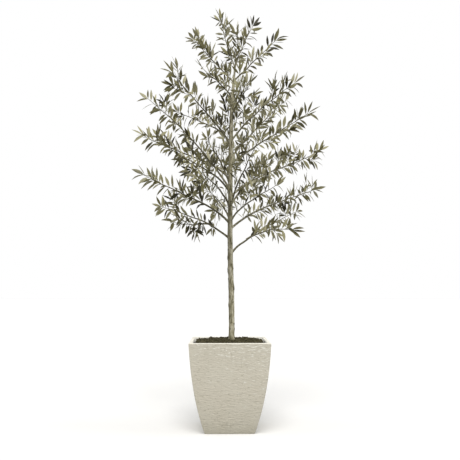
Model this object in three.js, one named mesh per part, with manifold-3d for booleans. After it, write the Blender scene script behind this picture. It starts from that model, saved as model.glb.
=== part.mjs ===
// A young standard olive tree in a square tapered planter: one straight leader, boughs that leave it at
// 40 to 60 degrees and level out, and one elongated mass of foliage round the leafy end of each bough.
// Millimetres, +Z up. The origin is the centre of the planter's underside, and the planter's front face looks along -Y.
import * as THREE from "three";
import { mergeVertices } from "three/addons/utils/BufferGeometryUtils.js";
import Module from "manifold-3d";

const wasm = await Module();
wasm.setup();

// ---- planter ----
const POT_TOP = 400; // outer width across the rim
const POT_HEIGHT = 440;
const POT_WALL = 18;
const POT_FLOOR = 20;
const POT_CORNER = 6; // radius of the upright corners at the rim, smaller in proportion below it
const RIM_ROUND = 4; // rounding of the rim's two edges
const BELLY = { slope: 24.5, curve: 43.2, foot: 10.7, footPower: 4 }; // how the half width falls away towards the foot
// ---- soil ----
const SOIL_TOP = 441; // level of the root ball's round top
const SOIL_RADIUS = 169;
const SOIL_SIDE = 2.4; // fall per millimetre outside that round top
const SOIL_CORNER = 400; // level in the planter's corners
const GAP = 0.4; // clear space between neighbouring pieces
// ---- trunk ----
const TRUNK_FOOT = SOIL_TOP + GAP;
const TRUNK_TIP = 1900;
const FLARE = { extra: 2.6, height: 22, lobes: 5, depth: 0.13 };
// height, sideways and depth offset of the trunk's centre
const TRUNK_LINE = [
  [TRUNK_FOOT, 11, 0],
  [560, 12, 2],
  [720, 9, 3],
  [930, 4.5, -2],
  [1200, 5, -3],
  [1480, 8, 3],
  [1700, 15, 2],
  [TRUNK_TIP, 30, -2],
].map(([z, x, y]) => new THREE.Vector3(x, y, z));
// height and radius
const TRUNK_GIRTH = [
  [TRUNK_FOOT, 14.6],
  [560, 14.6],
  [930, 13.4],
  [1250, 11.8],
  [1600, 10.4],
  [1740, 8.8],
  [1830, 5.8],
  [TRUNK_TIP, 4.2],
];
// ---- boughs and masses ----
const LEAF_REACH = 54; // how far the last leaves reach past the end of a bough's wood
const BOUGH_SIDES = 6;
const BOUGH_STEPS = 4;
const MASS_SIDES = 10;
const MASS_STEPS = 9;
// name, foot (height on the trunk, or the bough it forks from and where), azimuth, reach and height of the wood's tip,
// rise at the foot and at the tip, share of the length with no leaves, half width of the foliage, radius at the foot
const LIMBS = [
  ["right_1", 880, 334, 341, 993, 52, -13, 0.4, 69, 5.2],
  ["right_2", ["right_1", 0.33], 28, 433, 1138, 32, 20, 0.2, 63, 3.6],
  ["right_3", 1014, 24, 535, 1269, 43, 23, 0.26, 73, 5.4],
  ["right_4", 1186, 19, 542, 1486, 45, 32, 0.22, 73, 5.2],
  ["right_5", 1364, 334, 432, 1584, 35, 30, 0.2, 71, 4.8],
  ["right_6", 1489, 333, 364, 1752, 52, 28, 0.2, 69, 4.4],
  ["right_7", 1829, 336, 242, 2013, 33, 38, 0.2, 63, 3.4],
  ["left_1", 962, 154, 427, 1163, 42, 20, 0.38, 67, 5.0],
  ["left_2", ["left_1", 0.34], 208, 322, 1032, -6, 9, 0.22, 59, 3.4],
  ["left_3", 1042, 207, 478, 1258, 45, 28, 0.32, 71, 5.4],
  ["left_4", 1278, 207, 486, 1455, 44, 26, 0.2, 69, 4.8],
  ["left_5", 1226, 155, 525, 1802, 57, 40, 0.24, 73, 5.2],
  ["left_6", 1469, 207, 340, 1809, 57, 50, 0.2, 69, 4.4],
  ["left_7", 1820, 157, 240, 2101, 47, 51, 0.2, 61, 3.4],
  ["front_1", 1050, 304, 385, 1190, 46, 16, 0.34, 65, 4.4],
  ["front_2", 1120, 290, 372, 1400, 58, 34, 0.3, 67, 4.6],
  ["front_3", 1619, 288, 290, 1710, 44, 18, 0.26, 61, 3.6],
  ["front_4", 1117, 246, 395, 1256, 48, 14, 0.34, 67, 4.8],
  ["front_5", 1203, 231, 450, 1353, 48, 22, 0.28, 69, 4.8],
  ["front_6", 1719, 237, 285, 1800, 44, 18, 0.24, 61, 3.4],
  ["back_1", 1134, 57, 440, 1439, 52, 32, 0.26, 73, 4.8],
  ["back_2", 1393, 44, 478, 1841, 50, 40, 0.22, 73, 4.8],
  ["back_3", 1053, 109, 385, 1300, 52, 34, 0.34, 69, 4.6],
  ["back_4", 1480, 140, 405, 1738, 52, 28, 0.24, 69, 4.2],
  ["back_5", 1240, 110, 400, 1600, 56, 36, 0.26, 73, 4.8],
  ["back_6", 1600, 82, 330, 1872, 56, 44, 0.26, 65, 3.8],
  ["top_1", TRUNK_TIP, 168, 78, 2190, 70, 82, 0, 60, 3.2],
  ["top_2", TRUNK_TIP, 20, 109, 2160, 74, 62, 0, 60, 3.4],
  ["top_3", TRUNK_TIP, 285, 55, 2080, 74, 78, 0, 54, 2.8],
];

// ---- helpers ----
const rad = THREE.MathUtils.degToRad;
function along(table, z) {
  for (let i = 1; i < table.length; i++) {
    const [z0, a] = table[i - 1],
      [z1, b] = table[i];
    if (z <= z1 || i === table.length - 1)
      return a + (b - a) * THREE.MathUtils.clamp((z - z0) / (z1 - z0), 0, 1);
  }
}
const trunkCurve = new THREE.CatmullRomCurve3(TRUNK_LINE, false, "centripetal");
// the trunk's centre at a height
function trunkAt(z) {
  let low = 0,
    high = 1;
  for (let i = 0; i < 40; i++) {
    const mid = (low + high) / 2;
    if (trunkCurve.getPoint(mid).z < z) low = mid;
    else high = mid;
  }
  return trunkCurve.getPoint(low);
}
const heading = (azimuth, rise) =>
  new THREE.Vector3(
    Math.cos(rad(azimuth)) * Math.cos(rad(rise)),
    Math.sin(rad(azimuth)) * Math.cos(rad(rise)),
    Math.sin(rad(rise)),
  );

function solid(geometry) {
  const g = geometry.clone();
  for (const name of Object.keys(g.attributes))
    if (name !== "position") g.deleteAttribute(name);
  const merged = mergeVertices(g, 1e-3);
  return new wasm.Manifold(
    new wasm.Mesh({
      numProp: 3,
      vertProperties: new Float32Array(merged.attributes.position.array),
      triVerts: new Uint32Array(merged.index.array),
    }),
  );
}
function geometryOf(manifold) {
  const m = manifold.getMesh();
  const v = new Float32Array(m.numVert * 3);
  for (let i = 0; i < m.numVert; i++)
    for (let k = 0; k < 3; k++)
      v[i * 3 + k] = m.vertProperties[i * m.numProp + k];
  const g = new THREE.BufferGeometry();
  g.setAttribute("position", new THREE.BufferAttribute(v, 3));
  g.setIndex(new THREE.BufferAttribute(new Uint32Array(m.triVerts), 1));
  g.computeVertexNormals();
  return g;
}
const largest = (m) =>
  m
    .simplify(0.2)
    .decompose()
    .sort((a, b) => b.volume() - a.volume())[0];
function reshape(geometry, place) {
  const p = geometry.attributes.position,
    v = new THREE.Vector3();
  for (let i = 0; i < p.count; i++) {
    v.fromBufferAttribute(p, i);
    place(v);
    p.setXYZ(i, v.x, v.y, v.z);
  }
  return geometry;
}

// ---- planter and soil ----
function halfWidth(z) {
  const u = THREE.MathUtils.clamp(1 - z / POT_HEIGHT, 0, 1);
  return (
    POT_TOP / 2 -
    BELLY.slope * u -
    BELLY.curve * u * u -
    BELLY.foot * u ** BELLY.footPower
  );
}
// distance from the centre to a square with round corners, in the direction of an angle
function squareReach(half, angle) {
  const corner = (half * 2 * POT_CORNER) / POT_TOP;
  const c = Math.abs(Math.cos(angle)),
    s = Math.abs(Math.sin(angle));
  const big = Math.max(c, s),
    small = Math.min(c, s);
  const flat = half / big;
  if (small * flat <= half - corner) return flat;
  const k = half - corner,
    b = k * (c + s);
  return b + Math.sqrt(Math.max(b * b - (2 * k * k - corner * corner), 0));
}
// angles round the planter, closer together at its corners
const CORNER_STEP = Math.atan2(1, 1 - (2 * POT_CORNER) / POT_TOP) - Math.PI / 4;
const ringOf = (sides) =>
  [0, 1, 2, 3].flatMap((q) =>
    sides
      .map((a) => (q * Math.PI) / 2 + rad(a))
      .concat(
        [-1, -0.4, 0.4, 1].map(
          (k) => (q * Math.PI) / 2 + Math.PI / 4 + k * CORNER_STEP * 1.02,
        ),
      ),
  );
const POT_RING = ringOf([]);
const SOIL_RING = ringOf([-22.5, 0, 22.5]);
// turns a profile about the upright axis, one column at each angle of the ring, and moves each point to place(half, z, angle)
function ringLathe(profile, ring, place) {
  const g = new THREE.LatheGeometry(
    profile.map(([half, z]) => new THREE.Vector2(half, z)),
    ring.length,
  );
  return reshape(g, (v) => {
    const turn = Math.round((Math.atan2(v.x, v.z) / (2 * Math.PI)) * ring.length);
    const angle = ring[(turn + ring.length) % ring.length];
    const [reach, z] = place(Math.hypot(v.x, v.z), v.y, angle);
    v.set(Math.cos(angle) * reach, Math.sin(angle) * reach, z);
  });
}
const OUTER_LEVELS = [0, 18, 50, 95, 155, 235, 330, POT_HEIGHT - RIM_ROUND];
const INNER_LEVELS = [POT_HEIGHT - RIM_ROUND, 330, 235, 155, 95, 50, POT_FLOOR];
const inner = (z) => halfWidth(z) - POT_WALL;
const potProfile = [
  [0, 0],
  ...OUTER_LEVELS.map((z) => [halfWidth(z), z]),
  [halfWidth(POT_HEIGHT) - RIM_ROUND * 0.3, POT_HEIGHT - RIM_ROUND * 0.3],
  [halfWidth(POT_HEIGHT) - RIM_ROUND, POT_HEIGHT],
  [inner(POT_HEIGHT) + RIM_ROUND, POT_HEIGHT],
  ...INNER_LEVELS.map((z) => [inner(z), z]),
  [0, POT_FLOOR],
];
const pot = ringLathe(potProfile, POT_RING, (half, z, angle) => [
  half < 1e-6 ? 0 : squareReach(half, angle),
  z,
]);

// level of the soil at a distance from the centre
const soilLevel = (r) =>
  THREE.MathUtils.clamp(
    SOIL_TOP - SOIL_SIDE * (r - SOIL_RADIUS),
    SOIL_CORNER,
    SOIL_TOP,
  );
// the wall is straight between its levels, so the soil's side follows those straight runs
const wallRuns = [...INNER_LEVELS].reverse().map((z) => [z, inner(z)]);
const soilWall = (z) => along(wallRuns, z) - GAP;
// half widths past any wall stand for the three rings of the top: at the wall, at the foot of the fall, round the disc
const WALL_RING = 401,
  FALL_RING = 402,
  DISC_RING = 403;
const FALL_END = SOIL_RADIUS + (SOIL_TOP - SOIL_CORNER) / SOIL_SIDE;
const soilProfile = [
  [0, POT_FLOOR + GAP],
  ...[POT_FLOOR + GAP, 50, 95, 155, 235, 330].map((z) => [soilWall(z), z]),
  [WALL_RING, 398],
  [FALL_RING, 405],
  [DISC_RING, 410],
  [60, SOIL_TOP],
  [0, SOIL_TOP],
];
const soil = ringLathe(soilProfile, SOIL_RING, (half, z, angle) => {
  if (half < 1e-6) return [0, z];
  if (z === SOIL_TOP) return [half, z];
  if (half < 400) return [squareReach(half, angle), z];
  const wall = squareReach(soilWall(SOIL_CORNER), angle);
  const reach =
    half < WALL_RING + 0.5
      ? wall
      : half < FALL_RING + 0.5
        ? Math.min(wall * 0.97, FALL_END)
        : SOIL_RADIUS;
  return [reach, soilLevel(reach)];
});

// ---- trunk ----
function trunkGeometry(grow = 0) {
  const g = new THREE.CylinderGeometry(1, 1, 1, 10, 16);
  return reshape(g, (v) => {
    const t = v.y + 0.5;
    const turn = Math.atan2(v.z, v.x),
      share = Math.hypot(v.x, v.z);
    // more rings near the foot, where the trunk flares
    const z =
      TRUNK_FOOT + (TRUNK_TIP - TRUNK_FOOT) * (0.35 * t * t + 0.65 * t) ** 1.35;
    const c = trunkAt(z);
    const flare = Math.exp(-(z - TRUNK_FOOT) / FLARE.height);
    const r =
      along(TRUNK_GIRTH, z) +
      FLARE.extra * flare * (1 + FLARE.depth * 3 * Math.sin(FLARE.lobes * turn)) +
      grow;
    const up = (t === 0 ? -grow : t === 1 ? grow : 0);
    v.set(
      c.x + Math.cos(turn) * r * share,
      c.y - Math.sin(turn) * r * share,
      z + up,
    );
  });
}

// ---- boughs and masses ----
const limbs = new Map();
for (const [name, foot, azimuth, reach, height, rise0, rise1, bare, width, girth] of LIMBS) {
  const start = Array.isArray(foot)
    ? limbs.get(foot[0]).curve.getPoint(foot[1])
    : trunkAt(foot);
  const stem = Array.isArray(foot) ? trunkAt(start.z) : start;
  const tip = new THREE.Vector3(
    stem.x + reach * Math.cos(rad(azimuth)),
    stem.y + reach * Math.sin(rad(azimuth)),
    height,
  );
  const span = start.distanceTo(tip);
  const way =
    (Math.atan2(tip.y - start.y, tip.x - start.x) * 180) / Math.PI;
  const curve = new THREE.CubicBezierCurve3(
    start,
    start.clone().addScaledVector(heading(way, rise0), span * 0.33),
    tip.clone().addScaledVector(heading(way, rise1), -span * 0.33),
    tip,
  );
  const side = new THREE.Vector3(-Math.sin(rad(way)), Math.cos(rad(way)), 0);
  limbs.set(name, { name, curve, side, span, bare, width, girth, rise1, way });
}
// a point on a limb's line and the two directions across it; past the tip the line runs straight on
function station(limb, s) {
  const c = limb.curve;
  const over = Math.max(s - 1, 0);
  const p = c.getPoint(Math.min(s, 1)),
    t = c.getTangent(Math.min(s, 1)).normalize();
  p.addScaledVector(t, over * limb.span);
  const n = limb.side.clone().addScaledVector(t, -limb.side.dot(t)).normalize();
  return { p, n, b: new THREE.Vector3().crossVectors(n, t) };
}
const girthAt = (limb, s) => limb.girth * (1 - 0.72 * s) + 0.4;
function boughGeometry(limb, grow = 0) {
  const g = new THREE.CylinderGeometry(1, 1, 1, BOUGH_SIDES, BOUGH_STEPS);
  const end = limb.bare + 0.02;
  return reshape(g, (v) => {
    const t = v.y + 0.5,
      share = Math.hypot(v.x, v.z),
      turn = Math.atan2(v.z, v.x);
    const s = t * end + (t === 1 ? grow / limb.span : 0);
    const { p, n, b } = station(limb, s);
    const r = (girthAt(limb, s) + 2 * Math.exp(-s * limb.span / 14) + grow) * share;
    v.copy(p)
      .addScaledVector(n, Math.cos(turn) * r)
      .addScaledVector(b, Math.sin(turn) * r);
  });
}
function massGeometry(limb, index, grow = 0) {
  const g = new THREE.SphereGeometry(1, MASS_SIDES, MASS_STEPS);
  const from = limb.bare + 0.02,
    to = 1 + LEAF_REACH / limb.span;
  return reshape(g, (v) => {
    const y = THREE.MathUtils.clamp(v.y, -1, 1);
    const t = (1 - y) / 2,
      share = Math.hypot(v.x, v.z),
      turn = Math.atan2(-v.z, v.x);
    const s = from + (to - from) * t;
    const { p, n, b } = station(limb, s);
    // fullest a third of the way along, narrow at the last leaves
    const full = Math.pow(share, 0.72) * (1.04 - 0.24 * t);
    const uneven =
      1 +
      0.17 * Math.sin(3 * turn + index * 1.9 + 5 * t) +
      0.13 * Math.sin(2 * turn - index * 2.7 + 11 * t);
    const r = share < 1e-6 ? 0 : limb.width * full * uneven;
    v.copy(p)
      .addScaledVector(n, Math.cos(turn) * (r + grow * share))
      .addScaledVector(b, Math.sin(turn) * (0.9 * r + grow * share))
      .addScaledVector(new THREE.Vector3().crossVectors(n, b), grow * y);
  });
}

const BARK = { color: 0x8b8468, roughness: 0.85, metalness: 0 };
const LEAF = { color: 0x7d7960, roughness: 0.6, metalness: 0 };
const tree = new THREE.Group();
function add(name, geometry, look) {
  const mesh = new THREE.Mesh(geometry, new THREE.MeshStandardMaterial(look));
  mesh.name = name;
  tree.add(mesh);
}
add("pot", pot, { color: 0xc8c3b2, roughness: 0.9, metalness: 0 });
add("soil", soil, { color: 0x4a4630, roughness: 1, metalness: 0 });
add("trunk", trunkGeometry(), BARK);

const trunkSpace = solid(trunkGeometry(GAP));
const boughSpace = new Map();
for (const limb of limbs.values()) {
  if (!limb.bare) continue;
  let bough = solid(boughGeometry(limb)).subtract(trunkSpace);
  for (const other of boughSpace.values()) bough = bough.subtract(other);
  add("bough_" + limb.name, geometryOf(largest(bough)), BARK);
  boughSpace.set(limb.name, solid(boughGeometry(limb, GAP)));
}
let taken = trunkSpace;
for (const space of boughSpace.values()) taken = taken.add(space);
[...limbs.values()].forEach((limb, index) => {
  const mass = solid(massGeometry(limb, index)).subtract(taken);
  add("leaf_mass_" + limb.name, geometryOf(largest(mass)), LEAF);
  taken = taken.add(solid(massGeometry(limb, index, GAP)));
});

export default tree;
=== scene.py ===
import math

import bpy
import numpy as np
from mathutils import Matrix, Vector


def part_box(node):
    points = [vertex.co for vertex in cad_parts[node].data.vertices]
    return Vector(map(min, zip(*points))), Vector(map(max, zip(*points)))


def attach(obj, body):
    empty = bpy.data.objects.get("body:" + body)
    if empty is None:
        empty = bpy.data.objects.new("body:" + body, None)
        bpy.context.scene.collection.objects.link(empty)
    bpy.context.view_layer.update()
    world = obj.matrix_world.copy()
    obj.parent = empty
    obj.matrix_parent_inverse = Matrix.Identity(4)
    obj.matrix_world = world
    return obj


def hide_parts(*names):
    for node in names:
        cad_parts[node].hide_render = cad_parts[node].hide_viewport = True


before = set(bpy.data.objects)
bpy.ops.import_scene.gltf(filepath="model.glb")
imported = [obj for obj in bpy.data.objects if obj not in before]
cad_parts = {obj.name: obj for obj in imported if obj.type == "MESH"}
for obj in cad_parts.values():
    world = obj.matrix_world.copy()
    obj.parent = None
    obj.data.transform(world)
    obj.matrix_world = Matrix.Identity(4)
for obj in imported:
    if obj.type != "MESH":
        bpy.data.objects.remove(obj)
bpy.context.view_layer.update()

SCENE = bpy.context.scene
MM = 0.001

# ------------------------------------------------------------------ camera
cam_data = bpy.data.cameras.new("camera")
cam_data.sensor_fit = "HORIZONTAL"
cam_data.sensor_width = 36.0
cam_data.lens = 42.98
cam_data.clip_start = 0.05
cam_data.clip_end = 200.0
camera = bpy.data.objects.new("camera", cam_data)
camera.location = (-0.04797, -2.88026, 0.68858)
camera.rotation_euler = (math.radians(90 + 6.3664), 0.0, -math.radians(1.0238))
SCENE.collection.objects.link(camera)
SCENE.camera = camera
SCENE.view_settings.view_transform = "Standard"
SCENE.view_settings.look = "None"
SCENE.view_settings.exposure = 0.0
SCENE.view_settings.gamma = 1.0

# ------------------------------------------------------------------ sizes, in millimetres, as in the solids
POT_TOP = 400.0
POT_HEIGHT = 440.0
POT_WALL = 18.0
POT_CORNER = 6.0
RIM_ROUND = 4.0
BELLY = (24.5, 43.2, 10.7, 4)
SOIL_TOP = 441.0
SOIL_RADIUS = 169.0
SOIL_SIDE = 2.4
SOIL_CORNER = 400.0
GAP = 0.4
TRUNK_FOOT = SOIL_TOP + GAP
TRUNK_TIP = 1900.0
TRUNK_LINE = [
    (TRUNK_FOOT, 11, 0),
    (560, 12, 2),
    (720, 9, 3),
    (930, 4.5, -2),
    (1200, 5, -3),
    (1480, 8, 3),
    (1700, 15, 2),
    (TRUNK_TIP, 30, -2),
]
TRUNK_GIRTH = [
    (TRUNK_FOOT, 14.6),
    (560, 14.6),
    (930, 13.4),
    (1250, 11.8),
    (1600, 10.4),
    (1740, 8.8),
    (1830, 5.8),
    (TRUNK_TIP, 4.2),
]
# name, foot (height, or parent and share), azimuth, reach, height of the tip, rise at foot and tip, bare share, radius at the foot
LIMBS = [
    ("right_1", 880, 334, 341, 993, 52, -13, 0.4, 5.2),
    ("right_2", ("right_1", 0.33), 28, 433, 1138, 32, 20, 0.2, 3.6),
    ("right_3", 1014, 24, 535, 1269, 43, 23, 0.26, 5.4),
    ("right_4", 1186, 19, 542, 1486, 45, 32, 0.22, 5.2),
    ("right_5", 1364, 334, 432, 1584, 35, 30, 0.2, 4.8),
    ("right_6", 1489, 333, 364, 1752, 52, 28, 0.2, 4.4),
    ("right_7", 1829, 336, 242, 2013, 33, 38, 0.2, 3.4),
    ("left_1", 962, 154, 427, 1163, 42, 20, 0.38, 5.0),
    ("left_2", ("left_1", 0.34), 208, 322, 1032, -6, 9, 0.22, 3.4),
    ("left_3", 1042, 207, 478, 1258, 45, 28, 0.32, 5.4),
    ("left_4", 1278, 207, 486, 1455, 44, 26, 0.2, 4.8),
    ("left_5", 1226, 155, 525, 1802, 57, 40, 0.24, 5.2),
    ("left_6", 1469, 207, 340, 1809, 57, 50, 0.2, 4.4),
    ("left_7", 1820, 157, 240, 2101, 47, 51, 0.2, 3.4),
    ("front_1", 1050, 304, 385, 1190, 46, 16, 0.34, 4.4),
    ("front_2", 1120, 290, 372, 1400, 58, 34, 0.3, 4.6),
    ("front_3", 1619, 288, 290, 1710, 44, 18, 0.26, 3.6),
    ("front_4", 1117, 246, 395, 1256, 48, 14, 0.34, 4.8),
    ("front_5", 1203, 231, 450, 1353, 48, 22, 0.28, 4.8),
    ("front_6", 1719, 237, 285, 1800, 44, 18, 0.24, 3.4),
    ("back_1", 1134, 57, 440, 1439, 52, 32, 0.26, 4.8),
    ("back_2", 1393, 44, 478, 1841, 50, 40, 0.22, 4.8),
    ("back_3", 1053, 109, 385, 1300, 52, 34, 0.34, 4.6),
    ("back_4", 1480, 140, 405, 1738, 52, 28, 0.24, 4.2),
    ("back_5", 1240, 110, 400, 1600, 56, 36, 0.26, 4.8),
    ("back_6", 1600, 82, 330, 1872, 56, 44, 0.26, 3.8),
    ("top_1", TRUNK_TIP, 168, 78, 2190, 70, 82, 0, 3.2),
    ("top_2", TRUNK_TIP, 20, 109, 2160, 74, 62, 0, 3.4),
    ("top_3", TRUNK_TIP, 285, 55, 2080, 74, 78, 0, 2.8),
]

# ------------------------------------------------------------------ growth of the leafy shoots
SEED = 41
LEAF_NODE = 22.0  # along a bough between two pairs of leaves
TWIG_NODE = 18.0  # the same on a side twig
SIDE_PAIRS = 0.35  # share of pairs that stand to a shoot's sides
TWIG_EVERY = 40.0  # along a bough between two sites for side twigs
BARE_SITES = 0.15  # share of those sites with no twig
TWIG_LONG = 125.0  # side twigs near a bough's foot
TWIG_SHORT = 68.0  # side twigs near its tip
STEM_SHOOTS = (1385.0, TRUNK_TIP - 10)  # short shoots on the upper stem, from and to
STEM_EVERY = 30.0
LEAF_LONG = 76.0
LEAF_SHORT = 56.0
LEAF_WIDE = 0.24  # width over length
# the seed of each limb's own leaves, then those of its side twigs from the foot on
SHOOT_SEEDS = {
    "right_1": (91, 0, 21, 0, 2, 21, 6, 109),
    "right_2": (43, 88, 4, 7, 42, 1, 80, 3, 64, 89),
    "right_3": (70, 44, 44, 60, 0, 11, 4, 49, 82, 64, 84, 46, 4, 107),
    "right_4": (29, 6, 6, 17, 54, 0, 84, 38, 90, 105, 105, 16, 50, 33),
    "right_5": (53, 0, 1, 9, 82, 86, 101, 4, 94, 1, 102, 0),
    "right_6": (13, 1, 88, 79, 94, 70, 5, 102, 32, 23, 61),
    "right_7": (75, 60, 16, 73, 0, 0, 3, 3),
    "left_1": (11, 62, 1, 30, 8, 4, 2, 41, 5, 3),
    "left_2": (63, 36, 106, 61, 23, 3, 9),
    "left_3": (4, 2, 3, 35, 100, 103, 53, 0, 72, 6, 3, 0),
    "left_4": (1, 0, 6, 3, 2, 51, 1, 11, 107, 102, 63, 99),
    "left_5": (86, 1, 0, 12, 58, 15, 11, 2, 105, 2, 8, 85, 1, 15, 16, 36, 8, 9),
    "left_6": (63, 5, 1, 11, 48, 49, 23, 6, 32, 78, 77, 32),
    "left_7": (3, 100, 17, 57, 40, 16, 3, 75, 56),
    "front_1": (84, 82, 30, 84, 20, 2, 90, 73, 45),
    "front_2": (33, 65, 80, 33, 12, 102, 72, 78, 36, 5, 47),
    "front_3": (56, 58, 96, 89, 41, 71, 37),
    "front_4": (24, 10, 0, 76, 45, 95, 70, 91, 103),
    "front_5": (15, 95, 36, 64, 41, 95, 48, 9, 13, 6, 65),
    "front_6": (61, 96, 72, 63, 40, 10, 87),
    "back_1": (30, 85, 3, 53, 97, 83, 1, 106, 67, 81, 9, 58),
    "back_2": (103, 6, 74, 68, 22, 6, 52, 25, 68, 82, 96, 16, 66, 101, 24),
    "back_3": (9, 71, 97, 33, 66, 62, 28, 24, 38, 98),
    "back_4": (32, 79, 97, 106, 58, 55, 44, 79, 104, 27, 77),
    "back_5": (49, 23, 62, 86, 58, 17, 80, 63, 15, 0, 90, 92),
    "back_6": (28, 71, 80, 91, 11, 6, 50, 66, 14, 24),
    "top_1": (66, 93, 25, 5, 8, 107, 99, 77),
    "top_2": (104, 90, 1, 84, 5, 21, 62),
    "top_3": (77, 55, 4, 8, 68),
    "stem": (106, 0, 24, 18, 96, 34, 98, 23, 68, 46, 3, 6, 5, 103, 2, 89),
}
LEAF_STATIONS = np.array([0.0, 0.07, 0.22, 0.42, 0.64, 0.84, 1.0])
LEAF_OUTLINE = np.array([0.07, 0.12, 0.62, 0.98, 0.90, 0.48, 0.02])


# ------------------------------------------------------------------ small tools
def srgb(r, g, b):
    def lin(c):
        c /= 255.0
        return c / 12.92 if c <= 0.04045 else ((c + 0.055) / 1.055) ** 2.4

    return (lin(r), lin(g), lin(b), 1.0)


def unit(v):
    v = np.asarray(v, float)
    return v / np.maximum(np.linalg.norm(v, axis=-1, keepdims=True), 1e-12)


def heading(azimuth, rise):
    a, e = math.radians(azimuth), math.radians(rise)
    return np.array([math.cos(a) * math.cos(e), math.sin(a) * math.cos(e), math.sin(e)])


def lattice(i, seed):
    """One pseudo-random number from 0 to 1 for each row of whole numbers."""
    n = (
        i[..., 0].astype(np.int64) * 73856093
        ^ i[..., 1].astype(np.int64) * 19349663
        ^ i[..., 2].astype(np.int64) * 83492791
        ^ np.int64(seed * 2654435 + 977)
    )
    n = (n ^ (n >> 13)) * 1274126177 & 0x7FFFFFFF
    n = (n ^ (n >> 15)) * 668265263 & 0x7FFFFFFF
    return (n & 0xFFFFFF) / float(0xFFFFFF)


def noise(p, seed=0):
    """Smooth value noise from -1 to 1 at points p."""
    p = np.asarray(p, float)
    base = np.floor(p)
    f = p - base
    f = f * f * (3 - 2 * f)
    out = 0.0
    for dx in (0, 1):
        for dy in (0, 1):
            for dz in (0, 1):
                w = (
                    (f[..., 0] if dx else 1 - f[..., 0])
                    * (f[..., 1] if dy else 1 - f[..., 1])
                    * (f[..., 2] if dz else 1 - f[..., 2])
                )
                out = out + w * lattice(base + np.array([dx, dy, dz]), seed)
    return out * 2 - 1


def build(name, verts_mm, faces, materials, indices=None, smooth=True):
    """A mesh object from arrays of points in millimetres and faces of three or four corners."""
    faces = [np.asarray(f, np.int32) for f in (faces if isinstance(faces, list) else [faces])]
    mesh = bpy.data.meshes.new(name)
    verts = np.asarray(verts_mm, np.float64) * MM
    mesh.vertices.add(len(verts))
    mesh.vertices.foreach_set("co", verts.astype(np.float32).ravel())
    loops = np.concatenate([f.ravel() for f in faces])
    counts = np.concatenate([np.full(len(f), f.shape[1], np.int32) for f in faces])
    starts = np.concatenate([[0], np.cumsum(counts)[:-1]]).astype(np.int32)
    mesh.loops.add(len(loops))
    mesh.loops.foreach_set("vertex_index", loops.astype(np.int32))
    mesh.polygons.add(len(counts))
    mesh.polygons.foreach_set("loop_start", starts)
    mesh.polygons.foreach_set("loop_total", counts)
    for m in materials:
        mesh.materials.append(m)
    if indices is not None:
        mesh.polygons.foreach_set("material_index", np.asarray(indices, np.int32))
    mesh.polygons.foreach_set("use_smooth", np.full(len(counts), bool(smooth)))
    mesh.update(calc_edges=True)
    mesh.validate()
    obj = bpy.data.objects.new(name, mesh)
    SCENE.collection.objects.link(obj)
    return obj


# ------------------------------------------------------------------ trunk and limb lines
def catmull(points, n=400):
    """Centripetal Catmull-Rom line through the points, as in the solids."""
    P = [np.array(p, float) for p in points]
    P = [2 * P[0] - P[1]] + P + [2 * P[-1] - P[-2]]
    out = []
    for i in range(1, len(P) - 2):
        p0, p1, p2, p3 = P[i - 1], P[i], P[i + 1], P[i + 2]
        d = [max(np.linalg.norm(b - a), 1e-6) ** 0.5 for a, b in ((p0, p1), (p1, p2), (p2, p3))]
        t0 = (p1 - p0) / d[0] - (p2 - p0) / (d[0] + d[1]) + (p2 - p1) / d[1]
        t1 = (p2 - p1) / d[1] - (p3 - p1) / (d[1] + d[2]) + (p3 - p2) / d[2]
        t0, t1 = t0 * d[1], t1 * d[1]
        u = np.linspace(0, 1, n // (len(P) - 3), endpoint=False)[:, None]
        a, b = -3 * p1 + 3 * p2 - 2 * t0 - t1, 2 * p1 - 2 * p2 + t0 + t1
        out.append(p1 + t0 * u + a * u**2 + b * u**3)
    out.append(P[-2][None])
    return np.concatenate(out)


TRUNK = catmull([(x, y, z) for z, x, y in TRUNK_LINE])


def trunk_at(z):
    z = np.asarray(z, float)
    return np.stack(
        [np.interp(z, TRUNK[:, 2], TRUNK[:, 0]), np.interp(z, TRUNK[:, 2], TRUNK[:, 1]), z], -1
    )


def trunk_radius(z):
    zs, rs = zip(*TRUNK_GIRTH)
    return np.interp(z, zs, rs)


def bezier(c, s):
    s = np.asarray(s, float)[..., None]
    return (
        c[0] * (1 - s) ** 3 + 3 * c[1] * s * (1 - s) ** 2 + 3 * c[2] * s * s * (1 - s) + c[3] * s**3
    )


class Line:
    """A shoot's centre line with its length along it."""

    def __init__(self, points):
        self.p = np.asarray(points, float)
        step = np.linalg.norm(np.diff(self.p, axis=0), axis=1)
        self.d = np.concatenate([[0], np.cumsum(step)])
        self.length = self.d[-1]

    def at(self, d):
        d = np.clip(d, 0, self.length)
        return np.array([np.interp(d, self.d, self.p[:, k]) for k in range(3)]).T

    def along(self, d):
        h = min(6.0, self.length * 0.1)
        return unit(self.at(np.minimum(d + h, self.length)) - self.at(np.maximum(d - h, 0)))


limbs = {}
for name, foot, azimuth, reach, height, rise0, rise1, bare, girth in LIMBS:
    if isinstance(foot, tuple):
        start = bezier(limbs[foot[0]]["ctrl"], foot[1])
        stem = trunk_at(start[2])
    else:
        start = stem = trunk_at(foot)
    tip = np.array(
        [
            stem[0] + reach * math.cos(math.radians(azimuth)),
            stem[1] + reach * math.sin(math.radians(azimuth)),
            height,
        ]
    )
    span = float(np.linalg.norm(tip - start))
    way = math.degrees(math.atan2(tip[1] - start[1], tip[0] - start[0]))
    ctrl = (start, start + heading(way, rise0) * span * 0.33, tip - heading(way, rise1) * span * 0.33, tip)
    limbs[name] = dict(
        name=name, ctrl=ctrl, span=span, bare=bare, girth=girth, way=way, top=not bare, sub=isinstance(foot, tuple)
    )

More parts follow.
